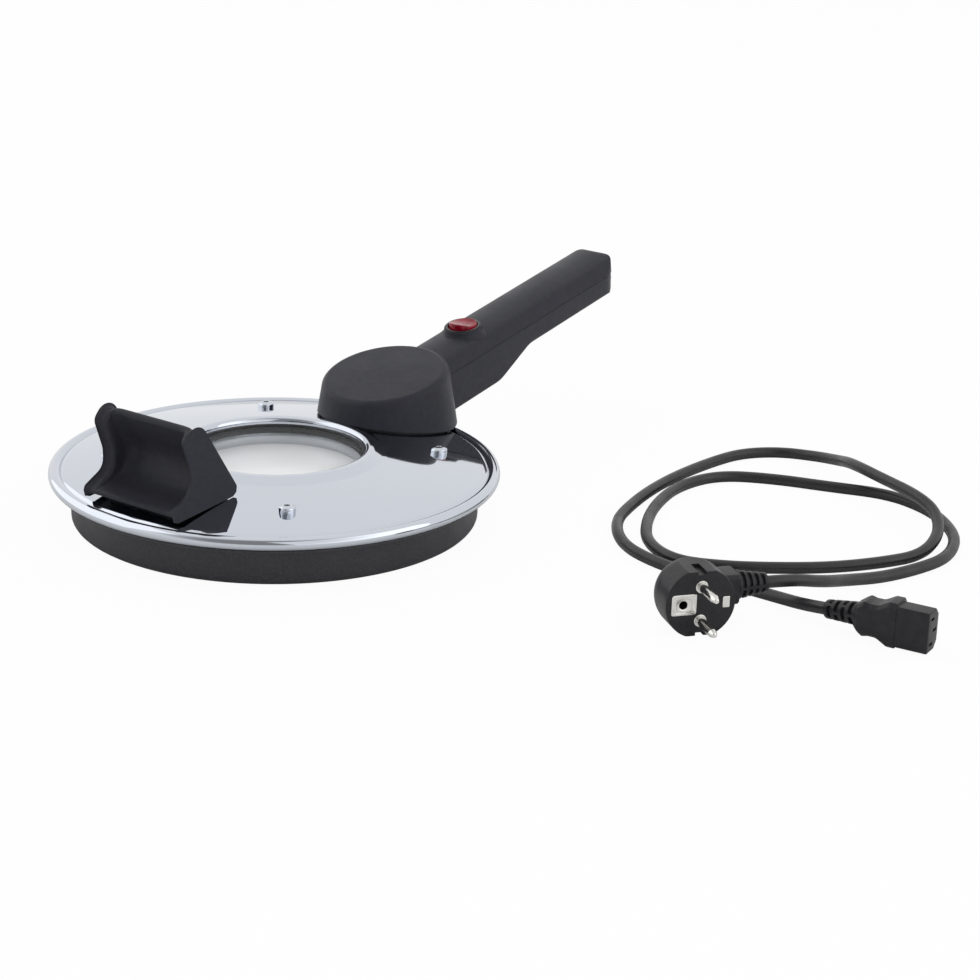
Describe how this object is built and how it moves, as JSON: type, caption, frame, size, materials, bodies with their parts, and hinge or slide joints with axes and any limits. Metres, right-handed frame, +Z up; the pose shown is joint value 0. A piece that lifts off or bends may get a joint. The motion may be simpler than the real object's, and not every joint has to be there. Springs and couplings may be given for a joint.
{
  "type": "electric baking pan",
  "caption": "Round flat electric baking pan with a domed heated lid that lifts off, a long handle with a rocker switch, a front grip and a loose mains lead.",
  "frame": {"origin": "centre of the pan's base, on the table", "axes": "+Z up, +Y along the lid's long rear handle, front grip at -Y, loose lead at +X"},
  "size_m": [0.5335, 0.47, 0.1017],
  "materials": {
    "pan_coating": "matt black coating",
    "polished_steel": "mirror polished stainless sheet",
    "clear_glass": "clear",
    "silicone": "matt",
    "opal_glass": "opal white, smooth",
    "plain_steel": "bright rolled",
    "heater_sheath": "dark oxidised",
    "fibre": "pressed fibre",
    "reflector": "bright",
    "grip_plastic": "fine satin",
    "pad_plastic": "matt",
    "screw_steel": "zinc plated",
    "ceramic_white": "bare",
    "brass": "bright",
    "red_cap": "glossy translucent red",
    "lamp_glass": "clear",
    "wire_sheath": "matt",
    "cord_rubber": "satin",
    "nickel": "bright nickel"
  },
  "bodies": {
    "pan": {"pan_shell": "pan_coating", "mains_cord": "cord_rubber", "plug_body": "cord_rubber", "plug_pins": "nickel", "plug_earth_contacts": "nickel", "plug_relief": "cord_rubber", "socket_body": "cord_rubber", "socket_contacts": "brass", "socket_relief": "cord_rubber"},
    "lid": {"lid_shell": "polished_steel", "window_glass": "clear_glass", "window_gasket": "silicone", "window_retainer": "plain_steel", "window_pane": "opal_glass", "element_cover": "plain_steel", "heating_element": "heater_sheath", "element_clips": "plain_steel", "insulation_ring": "fibre", "reflector_ring": "reflector", "lid_screws": "polished_steel", "lid_spacers": "plain_steel", "lid_nuts": "screw_steel", "front_grip": "grip_plastic", "grip_pad": "pad_plastic", "grip_screws": "screw_steel", "handle_top_shell": "grip_plastic", "handle_bottom_shell": "grip_plastic", "handle_screws": "screw_steel", "pod_base_plate": "pad_plastic", "pod_screws": "screw_steel", "thermal_cutout": "plain_steel", "terminal_block": "ceramic_white", "switch_body": "grip_plastic", "rocker_pin": "screw_steel", "indicator_lamp": "lamp_glass", "inlet_body": "pad_plastic", "inlet_pins": "brass", "inner_wires": "wire_sheath"},
    "rocker": {"rocker": "red_cap"}
  },
  "joints": [
    {"name": "lid_lift", "type": "slide", "parent": "pan", "child": "lid", "axis": [0, 0, 1], "range_m": [0, 0.12]},
    {"name": "rocker_tilt", "type": "hinge", "parent": "lid", "child": "rocker", "pos_m": [0, 0.18102, 0.07717], "axis": [1, 0, 0], "range_deg": [0, 16]}
  ]
}
